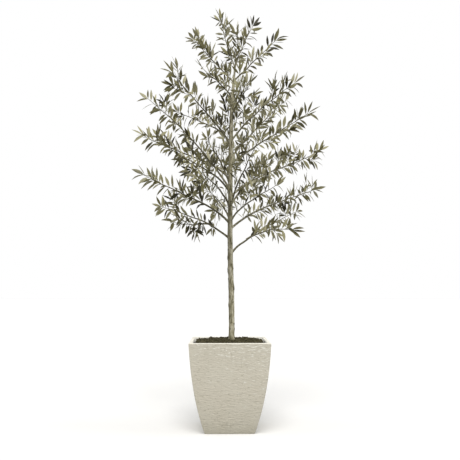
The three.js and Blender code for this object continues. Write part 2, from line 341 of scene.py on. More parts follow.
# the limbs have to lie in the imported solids
for limb in limbs.values():
    lo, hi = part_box("leaf_mass_" + limb["name"])
    middle = bezier(limb["ctrl"], 0.5 + limb["bare"] / 2) * MM
    if not all(lo[k] - 0.02 < middle[k] < hi[k] + 0.02 for k in range(3)):
        raise RuntimeError("limb " + limb["name"] + " has left its mass: pack again")


# ------------------------------------------------------------------ materials
def material(name):
    m = bpy.data.materials.new(name)
    m.use_nodes = True
    nt = m.node_tree
    bsdf = nt.nodes["Principled BSDF"]
    return m, nt, bsdf


def node(nt, kind, **settings):
    n = nt.nodes.new(kind)
    for k, v in settings.items():
        if k in n.inputs:
            n.inputs[k].default_value = v
        else:
            setattr(n, k, v)
    return n


def plain(name, colour, roughness, specular=0.5):
    m, nt, bsdf = material(name)
    bsdf.inputs["Base Color"].default_value = colour
    bsdf.inputs["Roughness"].default_value = roughness
    bsdf.inputs["Specular IOR Level"].default_value = specular
    return m


def ramp(nt, stops):
    n = nt.nodes.new("ShaderNodeValToRGB")
    e = n.color_ramp.elements
    while len(e) < len(stops):
        e.new(0.5)
    for k, (pos, col) in enumerate(stops):
        e[k].position = pos
        e[k].color = col
    return n


def mapped(nt, scale):
    tc = nt.nodes.new("ShaderNodeTexCoord")
    mp = nt.nodes.new("ShaderNodeMapping")
    mp.inputs["Scale"].default_value = scale
    nt.links.new(tc.outputs["Object"], mp.inputs["Vector"])
    return mp.outputs["Vector"]


def noise_node(nt, vector, scale, detail=4.0, rough=0.55):
    n = nt.nodes.new("ShaderNodeTexNoise")
    n.inputs["Scale"].default_value = scale
    n.inputs["Detail"].default_value = detail
    n.inputs["Roughness"].default_value = rough
    nt.links.new(vector, n.inputs["Vector"])
    return n.outputs["Fac"]


def mix(nt, fac, a, b, blend="MIX"):
    n = nt.nodes.new("ShaderNodeMix")
    n.data_type = "RGBA"
    n.blend_type = blend
    for socket, value in ((n.inputs[0], fac), (n.inputs[6], a), (n.inputs[7], b)):
        if isinstance(value, bpy.types.NodeSocket):
            nt.links.new(value, socket)
        else:
            socket.default_value = value
    return n.outputs[2]


def map_range(nt, value, a, b, c=0.0, d=1.0):
    n = nt.nodes.new("ShaderNodeMapRange")
    n.clamp = True
    for k, v in (("From Min", a), ("From Max", b), ("To Min", c), ("To Max", d)):
        n.inputs[k].default_value = v
    nt.links.new(value, n.inputs["Value"])
    return n.outputs["Result"]


def math_node(nt, op, a, b):
    n = nt.nodes.new("ShaderNodeMath")
    n.operation = op
    for socket, value in ((n.inputs[0], a), (n.inputs[1], b)):
        if isinstance(value, bpy.types.NodeSocket):
            nt.links.new(value, socket)
        else:
            socket.default_value = value
    return n.outputs[0]


def bump(nt, bsdf, height, strength, distance):
    n = nt.nodes.new("ShaderNodeBump")
    n.inputs["Strength"].default_value = strength
    n.inputs["Distance"].default_value = distance
    nt.links.new(height, n.inputs["Height"])
    nt.links.new(n.outputs["Normal"], bsdf.inputs["Normal"])


def split_xyz(nt):
    tc = nt.nodes.new("ShaderNodeTexCoord")
    n = nt.nodes.new("ShaderNodeSeparateXYZ")
    nt.links.new(tc.outputs["Object"], n.inputs[0])
    return n.outputs


# scars of the side shoots that were rubbed off the stem: height, direction, size
SCARS = [
    (495, 338, 2.2),
    (522, 318, 2.6),
    (560, 236, 1.8),
    (617, 190, 3.2),
    (645, 300, 1.6),
    (706, 350, 4.6),
    (753, 204, 2.2),
    (798, 188, 5.0),
    (806, 345, 1.8),
    (863, 190, 3.4),
    (905, 225, 2.0),
    (1160, 280, 1.8),
    (1250, 250, 1.6),
    (1330, 290, 1.8),
    (1420, 262, 1.6),
    (1540, 282, 1.5),
]


def bark_material():
    m, nt, bsdf = material("olive_bark")
    furrow = noise_node(nt, mapped(nt, (120, 120, 24)), 1.0, 5.0, 0.6)
    patch = noise_node(nt, mapped(nt, (38, 38, 14)), 1.0, 3.0, 0.5)
    fine = noise_node(nt, mapped(nt, (90, 90, 60)), 1.0, 3.0, 0.6)
    tone = ramp(
        nt,
        [
            (0.34, srgb(74, 69, 46)),
            (0.46, srgb(144, 139, 114)),
            (0.56, srgb(180, 175, 153)),
            (0.70, srgb(206, 202, 184)),
        ],
    )
    nt.links.new(furrow, tone.inputs["Fac"])
    col = mix(nt, map_range(nt, patch, 0.42, 0.68, 0.0, 0.45), tone.outputs["Color"], srgb(112, 108, 84))
    col = mix(nt, map_range(nt, fine, 0.58, 0.66, 0.0, 0.75), col, srgb(62, 57, 36))
    # the boughs are younger and darker than the stem
    xyz = split_xyz(nt)
    off = math_node(nt, "SQRT", math_node(nt, "ADD", math_node(nt, "MULTIPLY", xyz[0], xyz[0]), math_node(nt, "MULTIPLY", xyz[1], xyz[1])), 0.0)
    col = mix(nt, map_range(nt, off, 0.028, 0.055, 0.0, 0.72), col, srgb(84, 79, 55))
    # painted shade: the bark is darkened on the left (-x) side, where the stem lies in shade; then the stem's scars
    col = mix(nt, map_range(nt, xyz[0], 0.0, 0.012, 0.56, 0.0), col, srgb(66, 61, 40))
    for height, way, size in SCARS:
        centre = (trunk_at(height) + heading(way, 0) * (trunk_radius(height) + 1.0)) * MM
        away = nt.nodes.new("ShaderNodeVectorMath")
        away.operation = "DISTANCE"
        away.inputs[1].default_value = tuple(float(v) for v in centre)
        nt.links.new(xyz[0].node.inputs[0].links[0].from_socket, away.inputs[0])
        col = mix(nt, map_range(nt, away.outputs["Value"], size * 0.0011, size * 0.0028, 0.8, 0.0), col, srgb(50, 46, 28))
    nt.links.new(col, bsdf.inputs["Base Color"])
    bsdf.inputs["Roughness"].default_value = 0.86
    bsdf.inputs["Specular IOR Level"].default_value = 0.3
    bump(nt, bsdf, furrow, 0.8, 0.003)
    return m


def pot_material():
    m, nt, bsdf = material("cast_stone")
    xyz = split_xyz(nt)
    height = map_range(nt, xyz[2], 0.0, 0.44)
    # the body runs a little darker towards the foot and towards the rim
    body = ramp(
        nt,
        [
            (0.0, srgb(189, 184, 166)),
            (0.16, srgb(201, 195, 178)),
            (0.45, srgb(202, 196, 180)),
            (1.0, srgb(193, 188, 173)),
        ],
    )
    nt.links.new(height, body.inputs["Fac"])
    # short level streaks left by the mould, pits and a fine grain
    comb = noise_node(nt, mapped(nt, (30, 30, 210)), 1.0, 3.0, 0.6)
    dash = noise_node(nt, mapped(nt, (62, 62, 300)), 1.0, 2.0, 0.5)
    grain = noise_node(nt, mapped(nt, (240, 240, 300)), 1.0, 4.0, 0.65)
    cloud = noise_node(nt, mapped(nt, (7, 7, 7)), 1.0, 3.0, 0.5)
    col = mix(nt, map_range(nt, comb, 0.58, 0.70, 0.0, 0.3), body.outputs["Color"], srgb(170, 166, 148))
    col = mix(nt, map_range(nt, dash, 0.61, 0.66, 0.0, 0.62), col, srgb(146, 141, 120))
    col = mix(nt, map_range(nt, grain, 0.56, 0.70, 0.0, 0.35), col, srgb(176, 171, 153))
    col = mix(nt, map_range(nt, cloud, 0.45, 0.65, 0.0, 0.25), col, srgb(206, 202, 187))
    # pale flecks, thickest near the upper right of the front, few low down
    fleck = noise_node(nt, mapped(nt, (48, 48, 230)), 1.0, 2.0, 0.5)
    place = math_node(nt, "ADD", map_range(nt, xyz[0], -0.2, 0.2, -0.4, 0.6), map_range(nt, xyz[2], 0.16, 0.42, -0.5, 0.5))
    edge = math_node(nt, "SUBTRACT", 0.655, math_node(nt, "MULTIPLY", place, 0.085))
    amount = math_node(nt, "SUBTRACT", fleck, edge)
    col = mix(nt, map_range(nt, amount, 0.0, 0.045, 0.0, 0.75), col, srgb(224, 223, 213))
    # painted light: the inner wall above the soil, near the rim, is made paler where it lies in shade
    reach = math_node(nt, "MAXIMUM", math_node(nt, "ABSOLUTE", xyz[0], 0.0), math_node(nt, "ABSOLUTE", xyz[1], 0.0))
    painted_light_inner_wall = math_node(nt, "MULTIPLY", map_range(nt, reach, 0.1822, 0.1835, 1.0, 0.0), map_range(nt, xyz[2], 0.36, 0.40, 0.0, 0.85))
    col = mix(nt, painted_light_inner_wall, col, srgb(232, 231, 224))
    # painted highlight: the rim's flat top is made paler, as lit from above
    col = mix(nt, map_range(nt, xyz[2], 0.4375, 0.4392, 0.0, 0.8), col, srgb(222, 220, 211))
    nt.links.new(col, bsdf.inputs["Base Color"])
    bsdf.inputs["Roughness"].default_value = 0.82
    bsdf.inputs["Specular IOR Level"].default_value = 0.3
    h = math_node(nt, "SUBTRACT", math_node(nt, "MULTIPLY", fleck, 0.5), math_node(nt, "ADD", math_node(nt, "MULTIPLY", comb, 0.8), math_node(nt, "MULTIPLY", dash, 0.6)))
    h = math_node(nt, "ADD", h, math_node(nt, "MULTIPLY", grain, 0.25))
    bump(nt, bsdf, h, 0.42, 0.004)
    return m


def soil_material():
    m, nt, bsdf = material("potting_soil")
    a = noise_node(nt, mapped(nt, (90, 90, 90)), 1.0, 6.0, 0.65)
    tone = ramp(
        nt,
        [(0.3, srgb(40, 37, 24)), (0.5, srgb(64, 60, 41)), (0.7, srgb(84, 79, 57)), (0.85, srgb(108, 102, 78))],
    )
    nt.links.new(a, tone.inputs["Fac"])
    nt.links.new(tone.outputs["Color"], bsdf.inputs["Base Color"])
    bsdf.inputs["Roughness"].default_value = 0.95
    bsdf.inputs["Specular IOR Level"].default_value = 0.2
    bump(nt, bsdf, a, 0.7, 0.004)
    return m


def twig_material():
    m, nt, bsdf = material("young_twig")
    a = noise_node(nt, mapped(nt, (60, 60, 60)), 1.0, 4.0, 0.6)
    tone = ramp(nt, [(0.35, srgb(66, 61, 39)), (0.65, srgb(104, 99, 72))])
    nt.links.new(a, tone.inputs["Fac"])
    nt.links.new(tone.outputs["Color"], bsdf.inputs["Base Color"])
    bsdf.inputs["Roughness"].default_value = 0.75
    return m


BARK = bark_material()
TWIG = twig_material()
POT = pot_material()
SOIL = soil_material()
UPPER = [
    plain("leaf_upper_%d" % (i + 1), srgb(*c), 0.55, 0.3)
    for i, c in enumerate([(68, 64, 36), (86, 82, 50), (106, 102, 68), (46, 43, 22), (146, 142, 110)])
]
UNDER = [
    plain("leaf_under_%d" % (i + 1), srgb(*c), 0.7, 0.2)
    for i, c in enumerate([(150, 146, 114), (172, 168, 140), (128, 124, 90)])
]

# ------------------------------------------------------------------ planter
RING_SIDE = 90


def half_width(z):
    u = np.clip(1 - np.asarray(z, float) / POT_HEIGHT, 0, 1)
    return POT_TOP / 2 - BELLY[0] * u - BELLY[1] * u * u - BELLY[2] * u ** BELLY[3]


def square_reach(half, angle):
    corner = half * 2 * POT_CORNER / POT_TOP
    c, s = np.abs(np.cos(angle)), np.abs(np.sin(angle))
    big, small = np.maximum(c, s), np.minimum(c, s)
    flat = half / big
    k = half - corner
    b = k * (c + s)
    curved = b + np.sqrt(np.maximum(b * b - (2 * k * k - corner * corner), 0))
    return np.where(small * flat <= k, flat, curved)


def ring_angles():
    """Angles round the square, even along its sides and closer at its corners."""
    step = math.atan2(1, 1 - 2 * POT_CORNER / POT_TOP) - math.pi / 4
    side = np.arctan(np.linspace(-1, 1, RING_SIDE + 2)[1:-1] * math.tan(math.pi / 4 - step))
    bend = np.linspace(-step, step, 7) + math.pi / 4
    quarter = np.concatenate([side, bend])
    return np.concatenate([quarter + q * math.pi / 2 for q in range(4)])


def make_pot():
    angles = ring_angles()
    inner = lambda z: half_width(z) - POT_WALL
    floor_level = 20.0
    profile = [(0.001, 0.0), (half_width(0.0) * 0.5, 0.0), (half_width(0.0) - 1.5, 0.0)]
    for a in np.linspace(0, math.pi / 2, 4)[1:]:
        profile.append((float(half_width(0.0)) - 1.5 + 1.5 * math.sin(a), 1.5 - 1.5 * math.cos(a)))
    for z in np.linspace(5, POT_HEIGHT - RIM_ROUND, 190):
        profile.append((float(half_width(z)), z))
    outer = float(half_width(POT_HEIGHT))
    for a in np.linspace(0, math.pi / 2, 6)[1:]:
        profile.append((outer - RIM_ROUND + RIM_ROUND * math.cos(a), POT_HEIGHT - RIM_ROUND + RIM_ROUND * math.sin(a)))
    for r in np.linspace(outer - RIM_ROUND, inner(POT_HEIGHT) + RIM_ROUND, 5)[1:]:
        profile.append((float(r), POT_HEIGHT))
    for a in np.linspace(0, math.pi / 2, 6)[1:]:
        profile.append(
            (float(inner(POT_HEIGHT)) + RIM_ROUND - RIM_ROUND * math.sin(a), POT_HEIGHT - RIM_ROUND + RIM_ROUND * math.cos(a))
        )
    for z in np.linspace(POT_HEIGHT - RIM_ROUND, floor_level, 30)[1:]:
        profile.append((float(inner(z)), z))
    profile.append((0.001, floor_level))
    profile = np.array(profile)
    half, z = profile[:, 0][:, None], profile[:, 1][:, None]
    reach = square_reach(half, angles[None, :])
    x, y = reach * np.cos(angles), reach * np.sin(angles)
    z = np.broadcast_to(z, x.shape)
    p = np.stack([x, y, z], -1)
    # the cast face is not quite even: combed bands along it and a fine grain
    streak = np.clip(noise(p * [0.035, 0.035, 0.17], 3) + 0.35 * noise(p * [0.09, 0.09, 0.3], 4) - 0.12, 0, 1)
    pits = np.clip(noise(p * [0.11, 0.11, 0.2], 5) - 0.35, 0, 1)
    relief = (0.45 + 0.7 * np.clip(1 - z / 120, 0, 1)) * streak + 1.0 * pits
    on_wall = ((z > 4) & (half > 60)).astype(float)
    out = np.stack([np.cos(angles), np.sin(angles)], -1)[None]
    p[..., :2] -= out * (relief * on_wall)[..., None]
    rows, cols = x.shape
    idx = np.arange(rows * cols).reshape(rows, cols)
    a = idx[:-1, :].ravel()
    b = np.roll(idx, -1, 1)[:-1, :].ravel()
    c = np.roll(idx, -1, 1)[1:, :].ravel()
    d = idx[1:, :].ravel()
    return build("planter", p.reshape(-1, 3), np.stack([a, b, c, d], 1), [POT])


def make_soil():
    n = 150
    edge = float(half_width(SOIL_CORNER) - POT_WALL) - 0.6
    grid = np.linspace(-edge, edge, n)
    x, y = np.meshgrid(grid, grid, indexing="xy")
    r = np.hypot(x, y)
    z = np.clip(SOIL_TOP - SOIL_SIDE * (r - SOIL_RADIUS), SOIL_CORNER, SOIL_TOP)
    flat = np.stack([x, y, np.zeros_like(x)], -1)
    lumps = 2.4 * noise(flat * 0.06, 11) + 1.6 * noise(flat * 0.14, 12) + 1.0 * noise(flat * 0.32, 13)
    z = z + lumps - 1.2 + 2.0 * np.exp(-((r / 40) ** 2))
    p = np.stack([x, y, z], -1)
    idx = np.arange(n * n).reshape(n, n)
    quads = np.stack([idx[:-1, :-1], idx[:-1, 1:], idx[1:, 1:], idx[1:, :-1]], -1).reshape(-1, 4)
    # the side goes down inside the planter, and a floor closes it
    border = np.concatenate([idx[0, :-1], idx[:-1, -1], idx[-1, :0:-1], idx[:0:-1, 0]])
    verts = [p.reshape(-1, 3)]
    faces = [quads]
    count = n * n
    upper = border
    for level in (380.0, 300.0, 220.0, 150.0, 90.0, 50.0, 21.0):
        ring = p.reshape(-1, 3)[border].copy()
        scale = (float(half_width(level) - POT_WALL) - 0.6) / edge
        ring[:, :2] *= scale
        ring[:, 2] = level
        low = np.arange(len(border)) + count
        verts.append(ring)
        faces.append(np.stack([upper, low, np.roll(low, -1), np.roll(upper, -1)], 1))
        upper = low
        count += len(border)
    verts.append(np.array([[0, 0, 21.0]]))
    tris = np.stack([upper, np.full(len(upper), count), np.roll(upper, -1)], 1)
    soil_faces = [np.concatenate(faces), tris]
    base_v = np.concatenate(verts)
    # crumbs lying on the top
    rng = np.random.default_rng(SEED + 5)
    crumb_v, crumb_f = [], []
    total = len(base_v)
    lat = [0.0, 0.55, 1.0, 1.57, 2.15, 2.65, 3.14159]
    for k in range(620):
        rr = SOIL_RADIUS * 1.0 * math.sqrt(rng.random())
        th = rng.random() * 2 * math.pi
        cx, cy = rr * math.cos(th), rr * math.sin(th)
        size = rng.uniform(1.4, 4.4) * (1.35 if rng.random() < 0.12 else 1)
        i = int(np.clip(round((cx + edge) / (2 * edge) * (n - 1)), 0, n - 1))
        j = int(np.clip(round((cy + edge) / (2 * edge) * (n - 1)), 0, n - 1))
        cz = z[j, i] + size * 0.25
        ring = []
        for a in lat[1:-1]:
            for b in range(6):
                t = b * math.pi / 3 + a
                ring.append([math.sin(a) * math.cos(t), math.sin(a) * math.sin(t), math.cos(a)])
        pts = np.array([[0, 0, 1.0]] + ring + [[0, 0, -1.0]])
        pts *= 1 + 0.28 * noise(pts * 1.7 + k * 3.1, 21)[:, None]
        pts *= size * np.array([rng.uniform(0.8, 1.4), rng.uniform(0.8, 1.4), rng.uniform(0.6, 0.95)])
        crumb_v.append(pts + [cx, cy, cz])
        m = total
        rows = len(lat) - 2
        f = []
        for q in range(6):
            w = (q + 1) % 6
            f.append([m, m + 1 + q, m + 1 + w])
            last = m + 1 + (rows - 1) * 6
            f.append([last + w, last + q, m + 1 + rows * 6])
            for v in range(rows - 1):
                s0 = m + 1 + v * 6
                f.append([s0 + q, s0 + 6 + q, s0 + 6 + w])
                f.append([s0 + q, s0 + 6 + w, s0 + w])
        crumb_f.append(np.array(f))
        total += len(pts)
    return build(
        "potting_soil",
        np.concatenate([base_v] + crumb_v),
        [soil_faces[0], np.concatenate([soil_faces[1]] + crumb_f)],
        [SOIL],
    )


# ------------------------------------------------------------------ wood
def tube(line_points, radii, sides, seed, relief=0.0, relief_scale=(0.5, 0.06)):
    """A closed tube round a line: points, quads and end caps. relief is the depth of its furrows."""
    P = np.asarray(line_points, float)
    R = np.asarray(radii, float)
    T = unit(np.gradient(P, axis=0))
    up = np.array([0.0, 0.0, 1.0]) if abs(T[0][2]) < 0.9 else np.array([1.0, 0.0, 0.0])
    n = unit(np.cross(up, T[0]))
    frames = []
    for t in T:
        n = unit(n - t * float(n @ t))
        frames.append((n, np.cross(t, n)))
    N = np.array([f[0] for f in frames])
    B = np.array([f[1] for f in frames])
    th = np.arange(sides) * 2 * math.pi / sides
    around = np.stack([np.cos(th), np.sin(th)], -1)
    d = np.concatenate([[0], np.cumsum(np.linalg.norm(np.diff(P, axis=0), axis=1))])
    rr = np.repeat(R[:, None], sides, 1)
    if relief:
        q = np.empty((len(P), sides, 3))
        q[..., 0] = around[None, :, 0] * relief_scale[0] * 5
        q[..., 1] = around[None, :, 1] * relief_scale[0] * 5
        q[..., 2] = d[:, None] * relief_scale[1] + seed * 7.3
        rr = rr + relief * (0.65 * noise(q, seed) + 0.35 * noise(q * 2.3, seed + 1))
    V = (
        P[:, None, :]
        + N[:, None, :] * (around[None, :, 0] * rr)[..., None]
        + B[:, None, :] * (around[None, :, 1] * rr)[..., None]
    )
    idx = np.arange(len(P) * sides).reshape(len(P), sides)
    quads = np.stack(
        [idx[:-1], np.roll(idx, -1, 1)[:-1], np.roll(idx, -1, 1)[1:], idx[1:]], -1
    ).reshape(-1, 4)
    verts = np.concatenate([V.reshape(-1, 3), P[:1], P[-1:] + T[-1:] * R[-1] * 0.6])
    a, b = len(P) * sides, len(P) * sides + 1
    caps = np.concatenate(
        [
            np.stack([np.full(sides, a), np.roll(idx[0], -1), idx[0]], 1),
            np.stack([np.full(sides, b), idx[-1], np.roll(idx[-1], -1)], 1),
        ]
    )
    return verts, quads, caps


class Soup:
    def __init__(self):
        self.v, self.q, self.t, self.n = [], [], [], 0

    def add(self, part):
        v, q, t = part
        self.v.append(v)
        self.q.append(q + self.n)
        self.t.append(t + self.n)
        self.n += len(v)

    def faces(self):
        return [np.concatenate(self.q), np.concatenate(self.t)]

    def points(self):
        return np.concatenate(self.v)


def make_wood():
    soup = Soup()
    # trunk
    sides = 48
    z = np.concatenate([np.arange(TRUNK_FOOT - 6, 520, 2.0), np.arange(520, TRUNK_TIP, 4.0), [TRUNK_TIP]])
    th = np.arange(sides) * 2 * math.pi / sides
    c = trunk_at(np.maximum(z, TRUNK_FOOT))
    Z, TH = np.meshgrid(z, th, indexing="ij")
    flare = np.exp(-np.maximum(Z - TRUNK_FOOT, 0) / 22.0)
    r = trunk_radius(Z) + 2.6 * flare * (1 + 0.39 * np.sin(5 * TH + 0.7))
    q = np.stack([np.cos(TH) * 3.2, np.sin(TH) * 3.2, Z * 0.022], -1)
    r = r + 0.75 * noise(q, 31) + 0.45 * noise(q * [2.6, 2.6, 2.0], 32) + 0.5 * noise(np.stack([np.cos(TH), np.sin(TH), Z * 0.02], -1), 33)
    for height, way, size in SCARS:
        a = np.angle(np.exp(1j * (TH - math.radians(way))))
        d2 = ((Z - height) / (3.2 * size)) ** 2 + (a * 13 / (3.4 * size)) ** 2
        r = r + size * (np.exp(-d2) - 0.5 * np.exp(-d2 * 7))
    for limb in limbs.values():
        if limb["top"] or limb["sub"]:
            continue
        a = np.angle(np.exp(1j * (TH - math.radians(limb["way"]))))
        low = limb["ctrl"][0][2] + trunk_radius(limb["ctrl"][0][2]) * 0.9
        d2 = ((Z - low) / 15.0) ** 2 + (a * 12 / 8.0) ** 2
        r = r + 1.5 * np.exp(-d2)
    V = np.stack([c[:, 0][:, None] + r * np.cos(TH), c[:, 1][:, None] + r * np.sin(TH), Z], -1)
    rows = len(z)
    idx = np.arange(rows * sides).reshape(rows, sides)
    quads = np.stack([idx[:-1], np.roll(idx, -1, 1)[:-1], np.roll(idx, -1, 1)[1:], idx[1:]], -1).reshape(-1, 4)
    verts = np.concatenate([V.reshape(-1, 3), [[c[0][0], c[0][1], z[0]]], [[c[-1][0], c[-1][1], z[-1] + 1.5]]])
    a, b = rows * sides, rows * sides + 1
    caps = np.concatenate(
        [
            np.stack([np.full(sides, a), np.roll(idx[0], -1), idx[0]], 1),
            np.stack([np.full(sides, b), idx[-1], np.roll(idx[-1], -1)], 1),
        ]
    )
    soup.add((verts, quads, caps))
    # boughs
    for k, limb in enumerate(limbs.values()):
        line = limb["line"]
        n = max(20, int(line.length / 6))
        d = np.linspace(0, line.length, n)
        s = d / line.length
        radii = limb["girth"] * (1 - s) ** 0.9 * 0.94 + 0.95 + 2.0 * np.exp(-d / 14)
        if limb["top"]:
            radii = limb["girth"] * (1 - s) ** 0.9 * 0.8 + 0.95
        swell = 0.25 * (np.abs((d / LEAF_NODE) % 1.0 - 0.5) < 0.12)
        soup.add(tube(line.at(d), radii + swell, 12, 50 + k, relief=0.28, relief_scale=(0.45, 0.07)))
    obj = build("trunk_and_boughs", soup.points(), soup.faces(), [BARK])
    return obj


# ------------------------------------------------------------------ growing
UP = np.array([0.0, 0.0, 1.0])


class Growth:
    """What one shoot bears: rows of leaves (foot, direction, upper side, length, droop, curl, width, spray) and tubes of wood."""

    def __init__(self, scale=1.0, gaps=0.08):
        self.rows = []
        self.wood = []
        self.spray = 0
        self.scale = scale  # of its leaves
        self.gaps = gaps  # share of leaves that have dropped


def frame_of(t):
    side = np.cross(UP, t)
    if np.linalg.norm(side) < 0.15:
        side = np.array([1.0, 0.0, 0.0])
    side = unit(side - t * float(side @ t))
    return side, unit(np.cross(t, side))


def put_leaf(g, rng, foot, t, around, spread, size, radius):
    """One leaf beside a shoot: t is the shoot's direction, around the angle about it (90 degrees is up), spread the angle off it."""
    side, top = frame_of(t)
    size = size * g.scale
    out = side * math.cos(around) + top * math.sin(around)
    direction = unit(t * math.cos(spread) + out * math.sin(spread))
    # the blade's upper side looks towards the shoot's tip and the sky or turns aside, with its own twist
    aside = abs(math.sin(around))
    upper = unit(t * 0.4 + UP * 0.4 + side * rng.choice((-1.0, 1.0)) * aside * 1.2)
    upper = unit(upper - direction * float(upper @ direction))
    roll = rng.normal(0, 0.38)
    other = np.cross(direction, upper)
    upper = upper * math.cos(roll) + other * math.sin(roll)
    lift = float(direction[2])
    # leaves below a shoot arch and hang, those above it bend up to the light or back along the shoot
    inward = 0.0
    if spread < 0.5:
        droop = rng.uniform(-0.2, 0.35)
    elif lift < 0.1:
        droop = rng.uniform(0.4, 1.15)
        inward = rng.uniform(-0.2, 0.15)
    elif lift < 0.5:
        droop = rng.uniform(-0.3, 0.7)
    else:
        droop = rng.uniform(-0.35, 0.15)
        inward = rng.uniform(-0.3, 0.45)
    curl = rng.normal(0.0, 0.12)
    g.rows.append(
        (
            foot + out * radius * 0.7,
            direction,
            upper,
            size,
            droop,
            curl,
            size * LEAF_WIDE * rng.uniform(0.88, 1.12),
            g.spray,
            unit(t) * inward,
        )
    )


def leaf_pairs(g, rng, line, begin, spacing, radius, scale=1.0, spray_length=1e9):
    """Opposite pairs along a shoot, mostly above and below it, closing up to a tuft of three to five leaves at its tip."""
    d = begin + rng.uniform(0, spacing * 0.5)
    flat = rng.random() < 0.3
    since = 0.0
    while d < line.length - spacing * 0.6:
        u = d / line.length
        t = line.along(d)
        p = line.at(d)
        size = (LEAF_SHORT + (LEAF_LONG - LEAF_SHORT) * max(0.0, u * 1.3 - 0.5)) * rng.uniform(0.86, 1.1) * scale
        turn = rng.normal(0, 0.45) if flat else math.pi / 2 + rng.normal(0, 0.3)
        flat = not flat and rng.random() < SIDE_PAIRS
        for half in (0, math.pi):
            if rng.random() < g.gaps:
                continue
            spread = math.radians(rng.uniform(42, 64))
            put_leaf(g, rng, p, t, turn + half + rng.normal(0, 0.15), spread, size * rng.uniform(0.9, 1.08), radius)
        step = spacing * rng.uniform(0.85, 1.2)
        d += step
        since += step
        if since > spray_length:
            g.spray += 1
            since = 0.0
    # the tuft: one leaf that goes on, a pair beside it and a wider pair a little behind
    t = line.along(line.length)
    p = line.at(line.length)
    turn = math.pi / 2 + rng.normal(0, 0.35)
    put_leaf(g, rng, p, t, rng.uniform(0, 6.28), math.radians(rng.uniform(2, 14)), LEAF_LONG * rng.uniform(0.85, 1.02) * scale, 0.2)
    for k in range(2):
        put_leaf(g, rng, p - t * 3, t, turn + k * math.pi + rng.normal(0, 0.2), math.radians(rng.uniform(28, 44)), LEAF_LONG * rng.uniform(0.82, 1.0) * scale, 0.4)
    if rng.random() < 0.6:
        for k in range(2):
            put_leaf(g, rng, p - t * 13, t, turn + 0.8 + k * math.pi + rng.normal(0, 0.3), math.radians(rng.uniform(42, 62)), LEAF_LONG * rng.uniform(0.74, 0.92) * scale, 0.4)


def grow_twig(g, rng, start, t, around, angle, length, level=1, radius=1.5):
    """A side twig: leaves its parent at an angle, then bends on towards the light."""
    side, top = frame_of(t)
    out = side * math.cos(around) + top * math.sin(around)
    direction = unit(t * math.cos(angle) + out * math.sin(angle))
    points = [start]
    n = max(5, int(length / 9))
    lift = rng.uniform(0.02, 0.12)
    wander = rng.normal(0, 0.05, 3)
    for k in range(n):
        direction = unit(direction + UP * lift * (1 - 0.5 * k / n) + t * 0.05 + wander * 0.6 + rng.normal(0, 0.03, 3))
        points.append(points[-1] + direction * length / n)
    line = Line(points)
    s = np.linspace(0, 1, len(points))
    g.wood.append((line.p, radius * (1 - 0.55 * s) + 0.1))
    leaf_pairs(g, rng, line, 10.0 if length > 40 else 5.0, TWIG_NODE, radius, 0.94 if level == 1 else 0.86, 34)
    if level == 1 and length > 78:
        for u in (0.36, 0.64) if length > 115 else (0.5,):
            d = length * u * rng.uniform(0.9, 1.1)
            turn = rng.uniform(0.1, 3.0)
            grow_twig(g, rng, line.at(d), line.along(d), turn, math.radians(rng.uniform(38, 55)), length * rng.uniform(0.22, 0.4), 2, radius * 0.75)


def limb_line(limb):
    s = np.linspace(0, 1, 80)
    p = bezier(limb["ctrl"], s)
    # a little unevenness, none at the foot and the tip
    wob = np.stack([noise(np.stack([s * 7 + 11.0 * len(limb["name"]) + limb["way"], s * 0 + k, s * 0], -1), 60 + k) for k in range(3)], -1)
    return Line(p + wob * (3.2 * np.sin(np.pi * s) ** 0.7)[:, None])


def twig_sites(limb):
    """Where side twigs may stand along a limb, as distances from its foot."""
    line = limb["line"]
    begin = limb["bare"] * line.length * 0.6 if limb["bare"] else 24.0
    return np.arange(begin, line.length - 22, TWIG_EVERY)


def limb_leaves(limb, seed):
    front, back = limb["name"].startswith("front"), limb["name"].startswith("back")
    g, rng = Growth(0.9 if front else 1.0, 0.3 if front or back else 0.08), np.random.default_rng([SEED, limb["index"], 0, seed])
    line = limb["line"]
    bare = limb["bare"] * line.length
    leaf_pairs(g, rng, line, bare * 0.94 if bare else 24.0, LEAF_NODE, 2.0, 1.0, 42)
    return g


def side_twig(limb, k, seed):
    """Side twig number k of a limb: its seed settles if there is one, where it points and how long it gets."""
    front = limb["name"].startswith("front")
    g, rng = Growth(0.9 if front else 1.0), np.random.default_rng([SEED, limb["index"], k + 1, seed])
    line = limb["line"]
    sites = twig_sites(limb)
    bare = limb["bare"] * line.length
    d = float(np.clip(sites[k] + rng.uniform(-0.45, 0.45) * TWIG_EVERY, bare * 0.5, line.length - 14))
    u = float(np.clip((d - bare) / (line.length - bare), 0, 1))
    if rng.random() < BARE_SITES:
        return g
    kind = rng.random()
    if kind < 0.4:
        length = rng.uniform(14, 50)
    else:
        length = rng.uniform(0.6, 1.25) * (TWIG_LONG + (TWIG_SHORT - TWIG_LONG) * u)
    length = min(length, (line.length - d) * 0.8 + 34)
    kind = rng.random()
    flip = rng.choice((-1, 1))
    if kind < 0.62:
        around = math.pi / 2 + flip * rng.uniform(0.0, 0.9)
    elif kind < 0.84:
        around = math.pi / 2 + flip * (math.pi / 2 + rng.normal(0, 0.35))
    else:
        around = -math.pi / 2 + flip * rng.uniform(0.0, 0.9)
        length *= 0.9
    grow_twig(g, rng, line.at(d), line.along(d), around, math.radians(rng.uniform(34, 62)), length)
    return g


